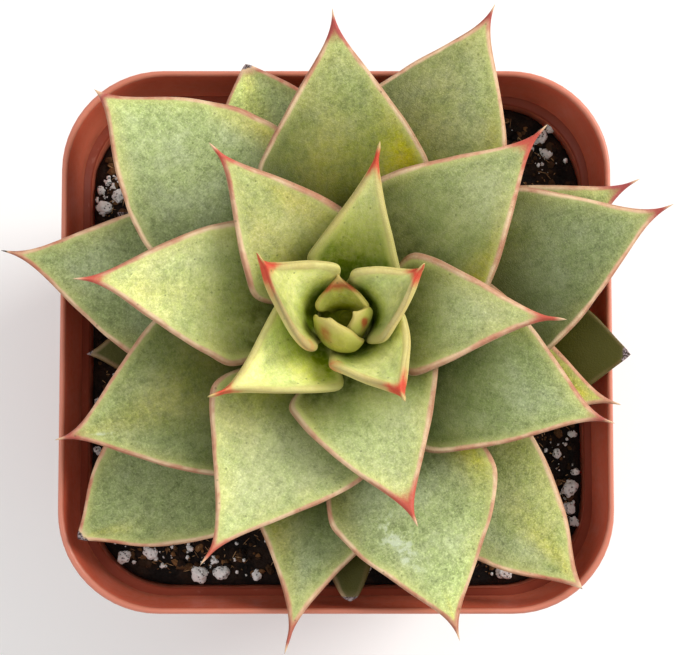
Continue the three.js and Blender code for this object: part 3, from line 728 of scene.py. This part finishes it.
def squareRing(inset, height, cornerSteps, sideSteps, clearance=0):
    halfX, halfY = pot["rimX"] / 2 - inset - clearance, pot["rimY"] / 2 - inset - clearance
    corner = mix(pot["baseCorner"], pot["rimCorner"], height / pot["height"]) - (inset + clearance) * 0.35
    signs = ((1, 1), (-1, 1), (-1, -1), (1, -1))
    points = []
    for quarter, (signX, signY) in enumerate(signs):
        centre = Vector((signX * (halfX - corner), signY * (halfY - corner)))
        for step in range(cornerSteps + 1):
            angle = math.radians(90) * (quarter + step / cornerSteps)
            points.append((centre.x + corner * math.cos(angle), centre.y + corner * math.sin(angle), height))
        nextX, nextY = signs[(quarter + 1) % 4]
        angle = math.radians(90) * (quarter + 1)
        end = Vector((nextX * (halfX - corner) + corner * math.cos(angle),
                      nextY * (halfY - corner) + corner * math.sin(angle), height))
        start = Vector(points[-1])
        points += [tuple(start.lerp(end, step / sideSteps)) for step in range(1, sideSteps)]
    return points


def wallInset(height):
    bandFoot = pot["height"] - pot["bandHeight"]
    full = pot["rimX"] * (1 - pot["baseShare"]) / 2 - pot["bandStep"]
    return pot["bandStep"] + full * (1 - height / bandFoot)


def innerFoot(gap=0):  # the inner wall from the floor to its shoulder, as insets and heights
    inner, shoulder = wallInset(0) + pot["wall"], pot["height"] - pot["bandHeight"] - pot["shoulderDrop"]
    return [(inner + pot["footFillet"], pot["floor"] + gap), (inner, pot["floor"] + pot["footFillet"] + gap),
            (wallInset(shoulder) + pot["wall"] + pot["shoulderFill"], shoulder)]


def makePotMesh():
    top, base, edge = pot["height"], wallInset(0), pot["footEdge"]
    bandFoot, ledge = top - pot["bandHeight"], top - pot["ledgeDepth"]
    lip, underBand, band = pot["lip"], wallInset(bandFoot), pot["bandTaper"]
    throat = lip + pot["throatSlope"]
    ledgeEnd = throat + pot["ledgeWidth"]
    outside = [(base + edge * 1.6, 0), (base + edge, 0), (base + edge * 0.3, 0.35), (base, edge)]
    outside += [(wallInset(h), h) for h in (6, 20, 35, 50, 62)]
    outside += [(underBand, bandFoot - 0.3), (underBand - 0.1, bandFoot), (band + 0.15, bandFoot + 0.1),
                (band - 0.05, bandFoot + 0.5), (0.3, bandFoot + 6), (0.02, top - 1.5),
                (0, top - pot["lipRound"]), (0.08, top - 0.3), (0.3, top)]
    inside = [(0.65, top - 0.02), (lip - 0.1, top - 0.2), (lip + 0.1, top - 0.8), (lip + 0.3, top - 1.8),
              (mix(lip + 0.3, throat, 0.5), mix(top, ledge, 0.5)), (throat - 0.05, ledge + 0.7),
              (throat, ledge + 0.2), (throat + 0.12, ledge), (ledgeEnd - 0.25, ledge - 0.2),
              (ledgeEnd, ledge - 0.45), (ledgeEnd + 0.1, ledge - 1.2), *reversed(innerFoot())]
    bm = bmesh.new()
    skinOver(bm, [squareRing(i, h, pot["cornerSteps"], pot["sideSteps"]) for i, h in outside + inside])
    return bm


def makePotMaterial():
    material, tree, shader = newMaterial("pot plastic")
    place = coordinate(tree)
    height = addNode(tree, "ShaderNodeSeparateXYZ", {"Vector": place}).outputs["Z"]

    def between(heights, toLow=0, toHigh=1):
        return span(tree, height, heights[0] * mm, heights[1] * mm, toLow, toHigh)

    cloud = grain(tree, place, 45, 4, 0.6)
    fine = grain(tree, place, 900, 2, 0.6)
    scratch = grain(tree, stretched(tree, place, 1, 1, 9), 220, 3, 0.7)
    colour = blendColour(tree, span(tree, cloud, 0.3, 0.7), *potFinish["outer"])

    # the inner wall's normals point against the place; its colour is painted light and shade, lighter than
    # the outside and lighter low down than near the lip
    facing = addNode(tree, "ShaderNodeVectorMath", {0: place, 1: coordinate(tree, "Normal")},
                     operation="DOT_PRODUCT")
    inside = span(tree, facing.outputs["Value"], -0.03, -0.005, 1, 0)
    inner = blendColour(tree, between(potFinish["innerLightHeights"]), *potFinish["inner"])
    colour = blendColour(tree, times(tree, inside, 0.95), colour, inner)

    # pale along the lip, partly rubbed wear and partly a painted highlight, a painted highlight line at the
    # ledge, and pale scratches
    fromLedge = calc(tree, "ABSOLUTE", calc(tree, "SUBTRACT", height, potFinish["ledgeHighlightHeight"] * mm))
    ledge = times(tree, span(tree, fromLedge, 0.00006, 0.00014, 0.8, 0), inside)
    rubAndHighlight = calc(tree, "MAXIMUM", between(potFinish["rubAndHighlightHeights"], 0, 0.42), ledge)
    colour = blendColour(tree, rubAndHighlight, colour, potFinish["rubAndHighlight"])
    marks = span(tree, scratch, 0.62, 0.76, 0, 0.22)
    colour = blendColour(tree, marks, colour, potFinish["scratched"])

    # only the inner wall is soiled by the mix
    dirt = times(tree, span(tree, cloud, 0.42, 0.7), between(potFinish["soiledHeights"], 0.7, 0))
    colour = blendColour(tree, times(tree, dirt, inside, clamp=True), colour, potFinish["soiled"])
    dress(tree, shader, {
        "Base Color": colour, "Roughness": span(tree, plus(tree, fine, marks), 0.3, 0.8, 0.34, 0.5),
        "Subsurface Weight": 0.1, "Subsurface Radius": (1, 0.3, 0.15), "Subsurface Scale": 0.003,
    })
    addBump(tree, shader, plus(tree, fine, times(tree, scratch, 0.6)), 0.00006, 0.6)
    return material


potPiece = finishPiece("finePot", makePotMesh(), makePotMaterial(), ["pot"])
drill = bmesh.new()
drillRadius = pot["drainRadius"] * mm
for x in (-1, 1):
    for y in (-1, 1):
        place = Matrix.Translation(Vector((x * pot["drainPlace"], y * pot["drainPlace"], 1)) * mm)
        bmesh.ops.create_cone(drill, cap_ends=True, segments=pot["drillSides"], radius1=drillRadius,
                              radius2=drillRadius, depth=pot["drillLength"] * mm, matrix=place)
drillPiece = addObject("drill", meshFrom(drill, "drill"))
cut = potPiece.modifiers.new("drain holes", "BOOLEAN")
cut.object = drillPiece
cut.solver = "EXACT"
bpy.context.view_layer.update()
cutMesh = bpy.data.meshes.new_from_object(potPiece.evaluated_get(bpy.context.evaluated_depsgraph_get()))
potPiece.modifiers.clear()
potPiece.data = cutMesh
bpy.data.objects.remove(drillPiece)
print("pot made")


# Potting mix

mixBed = {
    "depth": 12, "lump": 0.9, "coarse": 0.55, "fine": 0.3, "clearance": 0.3, "brimGap": 0.2,
    "brimFall": 0.6, "wellRadius": 4.7, "wellDepth": 15, "rings": 44, "cornerSteps": 12, "sideSteps": 22,
}

loose = {  # crumbs, bark bits and fibres strewn over the bed
    "seed": 5, "half": (43, 42), "cornerCentre": (28, 27), "corner": 15, "stemGap": 7, "batch": 40,
    "crumbs": 5200, "smallestCrumb": 0.18, "crumbSpread": 0.7, "bark": 340, "barkSizes": (0.25, 0.75),
    "fibres": 2200, "shortestFibre": 0.2, "fibreSpread": 0.8,
}

mixColours = {  # dark and brown clouds, and the tone of pale bits
    "potting mix": (paint(17, 12, 10), paint(50, 33, 22), paint(150, 106, 64)),
    "bark bits": (paint(32, 20, 13), paint(64, 42, 25), paint(122, 86, 50)),
    "fibres": (paint(112, 78, 48), paint(156, 114, 72), paint(214, 176, 128)),
}

mixLevel = pot["height"] - mixBed["depth"]


def lumps(x, y):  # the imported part's lumps
    coarse = math.sin(x * 0.31 + 1.3) * math.cos(y * 0.27 - 0.6)
    fine = math.sin(x * 0.83 + y * 0.35) * math.cos(y * 0.71 - x * 0.22 + 2)
    return mixBed["lump"] * (0.6 * coarse + 0.4 * fine)


def mixHeight(x, y):
    coarse, fine = roughly((x * 0.5, y * 0.5, 0)), roughly((x * 1.4, y * 1.4, 9))
    return mixLevel + lumps(x, y) + (mixBed["coarse"] * coarse + mixBed["fine"] * fine)


def makeMixMesh():
    gap, steps = mixBed["clearance"], (mixBed["cornerSteps"], mixBed["sideSteps"])
    rings = [squareRing(inset, height, *steps, gap) for inset, height in innerFoot(gap)]
    brimInset = pot["lip"] + pot["throatSlope"] + pot["ledgeWidth"] + mixBed["brimGap"]
    brim = squareRing(brimInset, mixLevel, *steps, gap)
    for ring in range(mixBed["rings"] + 1):
        share = ring / mixBed["rings"]
        fall = mixBed["brimFall"] * (1 - smooth(share, 0, 0.03))
        points = []
        for x, y, z in brim:
            away = Vector((x - stemX, y - stemY)).normalized() * mixBed["wellRadius"]
            u, v = mix(x, stemX + away.x, share), mix(y, stemY + away.y, share)
            points.append((u, v, mixHeight(u, v) - fall))
        rings.append(points)
    rings.append([(x, y, mixLevel - mixBed["wellDepth"]) for x, y, z in rings[-1]])
    bm = bmesh.new()
    skinOver(bm, rings)
    return bm


def makeMixMaterial(name):
    dark, brown, pale = mixColours[name]
    material, tree, shader = newMaterial(name)
    place = coordinate(tree)
    cloud = grain(tree, place, 260, 5, 0.65)
    crumb = grain(tree, place, 1100, 4, 0.7)
    colour = blendColour(tree, span(tree, cloud, 0.4, 0.72), dark, brown)
    paleness = times(tree, reading(tree, "crumbTone"), span(tree, crumb, 0.3, 0.7, 0.6, 1))
    dress(tree, shader, {
        "Base Color": blendColour(tree, paleness, colour, pale),
        "Roughness": span(tree, crumb, 0.3, 0.7, 0.72, 0.98), "Specular IOR Level": 0.25,
    })
    addBump(tree, shader, plus(tree, crumb, cloud), 0.0006, 0.9)
    return material


mixMaterial = makeMixMaterial("potting mix")
finishPiece("fineSoil", makeMixMesh(), mixMaterial, ["soil"])

draw = random.Random(loose["seed"])


def onBed(x, y, margin):  # clear of the wall, its round corners and the stem
    centreX, centreY = loose["cornerCentre"]
    fromCorner = math.hypot(max(abs(x) - centreX, 0), max(abs(y) - centreY, 0))
    fromStem = math.hypot(x - stemX, y - stemY)
    return fromCorner < loose["corner"] - margin and fromStem > loose["stemGap"]


def openSpot(margin):
    halfX, halfY = loose["half"]
    while True:
        x, y = draw.uniform(-halfX, halfX), draw.uniform(-halfY, halfY)
        if onBed(x, y, margin):
            return x, y


def addStone(bm, x, y, rise, size, squash, dents, tone, subdivisions=1):
    toneLayer = layerOf(bm.verts.layers.float, "crumbTone")
    turn = Matrix.Rotation(draw.uniform(0, 6.3), 3, "Z") @ Matrix.Rotation(draw.uniform(-0.5, 0.5), 3, "X")
    centre = Vector((x, y, mixHeight(x, y) + rise))
    for vert in bmesh.ops.create_icosphere(bm, subdivisions=subdivisions, radius=1)["verts"]:
        p = vert.co * (1 + dents * roughly(vert.co * 1.9 + centre * 1.7))
        p = Vector((p.x * size[0], p.y * size[1], p.z * size[2] * squash))
        vert.co = (turn @ p + centre) * mm
        vert[toneLayer] = tone


def scatter(count, addOne):  # small batches keep the bmesh operators quick
    whole = bmesh.new()
    batch = bpy.data.meshes.new("batch")
    for start in range(0, count, loose["batch"]):
        few = bmesh.new()
        for _ in range(min(loose["batch"], count - start)):
            addOne(few)
        few.to_mesh(batch)
        few.free()
        whole.from_mesh(batch)
    bpy.data.meshes.remove(batch)
    return whole


def addCrumb(bm):
    x, y = openSpot(0.8)
    r = loose["smallestCrumb"] + loose["crumbSpread"] * draw.random() ** 3
    size = (r * draw.uniform(0.8, 1.3), r, r)
    addStone(bm, x, y, r * 0.25, size, 0.75, 0.7, draw.random() ** 2.2)


def addBark(bm):
    x, y = openSpot(2)
    r = draw.uniform(*loose["barkSizes"])
    size = (r, r * draw.uniform(0.18, 0.45), 0.34)
    addStone(bm, x, y, 0.25, size, 0.7, 0.5, draw.random() ** 2)


def addFibre(bm):
    x, y = openSpot(1.6)
    size = (loose["shortestFibre"] + loose["fibreSpread"] * draw.random() ** 2, draw.uniform(0.05, 0.1), 0.08)
    addStone(bm, x, y, 0.62, size, 1, 0.3, draw.random())


finishPiece("soilCrumbs", scatter(loose["crumbs"], addCrumb), mixMaterial, flat=True)
barkMaterial, fibreMaterial = makeMixMaterial("bark bits"), makeMixMaterial("fibres")
finishPiece("barkBits", scatter(loose["bark"], addBark), barkMaterial, flat=True)
finishPiece("mixFibres", scatter(loose["fibres"], addFibre), fibreMaterial, flat=True)
print("potting mix filled in")


# Perlite

perlite = {
    "grains": [  # x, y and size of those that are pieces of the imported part
        (-41.5, 24.4, 2.4), (-39.2, 26.6, 2.1), (-32.9, -37, 2.3), (-37.6, -37.8, 2.1), (-24.2, -40.7, 2.8),
        (-20.3, -40.6, 2.4), (-14, -41, 1.7), (29.8, -40.4, 2.6), (41.4, -25.7, 2.6), (41.4, -29.2, 1.9),
        (42, -16.1, 1.5), (39.2, -19.5, 1.5), (37.9, 34.3, 1.8), (36.9, 37.4, 2.2)],
    "small": [
        (-42.2, 27.6, 1.4), (-40.9, 29, 1.1), (-42.8, 25.9, 0.9), (-42.4, -10.2, 1.1), (-42.4, -19, 1.3),
        (-25.9, -36.3, 1.1), (-21.6, -38.5, 1), (5.6, -39.8, 1.1), (42.2, -31.6, 1.6), (42.4, -22.8, 1.2),
        (38.6, 39.2, 1.6), (35.2, 35.3, 0.9), (41.4, 33.2, 0.8), (36.4, 32.2, 0.7)],
    "flatness": 0.78, "stretch": 1.2, "dents": 0.14, "coarse": 0.13, "fine": 0.07, "showing": 0.12,
    "dust": 420, "dustShare": 0.6, "dustSpread": 1.8, "smallest": 0.13, "largest": 0.5,
}


def makePerliteMaterial():
    material, tree, shader = newMaterial("perlite")
    place = coordinate(tree)
    pores = addNode(tree, "ShaderNodeTexVoronoi", {"Vector": place, "Scale": 1700})
    cloud = grain(tree, place, 700, 4, 0.6)
    hollow = span(tree, pores.outputs["Distance"], 0.1, 0.34)
    colour = blendColour(tree, span(tree, cloud, 0.35, 0.7), paint(240, 238, 235), paint(254, 254, 252))
    pits = calc(tree, "SUBTRACT", 0.9, times(tree, hollow, 0.9))
    dress(tree, shader, {
        "Base Color": blendColour(tree, pits, colour, paint(72, 64, 58)),
        "Roughness": span(tree, cloud, 0.3, 0.7, 0.8, 0.98),
    })
    addBump(tree, shader, plus(tree, hollow, cloud), 0.0004, 0.9)
    return material


perliteMaterial = makePerliteMaterial()
for order, (x, y, size) in enumerate(perlite["grains"]):
    bm = bmesh.new()
    made = bmesh.ops.create_icosphere(bm, subdivisions=4, radius=1)["verts"]
    for vert in made:
        p = vert.co
        dent = math.sin(p.x * 4.1 + order * 1.7) * math.cos(p.y * 3.7 - order * 2.3 + p.z * 2.6)
        rough = perlite["coarse"] * roughly(p * 3.1, order) + perlite["fine"] * roughly(p * 8, order)
        vert.co = p * (1 + perlite["dents"] * dent + rough)
    half = size / 2 * mm
    bmesh.ops.scale(bm, verts=made, vec=(half * perlite["stretch"], half, half * perlite["flatness"]))
    bmesh.ops.rotate(bm, verts=made, cent=(0, 0, 0), matrix=Matrix.Rotation(order * 1.3, 3, "Z"))
    level = mixLevel + lumps(x, y) + size * perlite["showing"]
    bmesh.ops.translate(bm, verts=made, vec=Vector((x, y, level)) * mm)
    finishPiece(f"finePerlite{order + 1:02d}", bm, perliteMaterial, [f"perlite_{order + 1:02d}"])


def addDust(bm):  # most chips lie near the larger grains
    x, y = openSpot(1)
    if draw.random() < perlite["dustShare"]:
        besideX, besideY, size = draw.choice(perlite["grains"] + perlite["small"])
        angle, far = draw.uniform(0, 2 * math.pi), size / 2 + abs(draw.gauss(0, perlite["dustSpread"]))
        nearX, nearY = besideX + far * math.cos(angle), besideY + far * math.sin(angle)
        if onBed(nearX, nearY, 0.8):
            x, y = nearX, nearY
    r = mix(perlite["smallest"], perlite["largest"], draw.random() ** 2.4)
    addStone(bm, x, y, r * 0.5, (r * draw.uniform(0.8, 1.3), r, r), 0.8, 0.6, 0)


smallPerlite = scatter(perlite["dust"], addDust)
for x, y, size in perlite["small"]:
    r = size / 2
    addStone(smallPerlite, x, y, r * 0.4, (r * 1.2, r, r), 0.8, 0.5, 0, 3)
finishPiece("perliteChips", smallPerlite, perliteMaterial)
print("perlite laid")
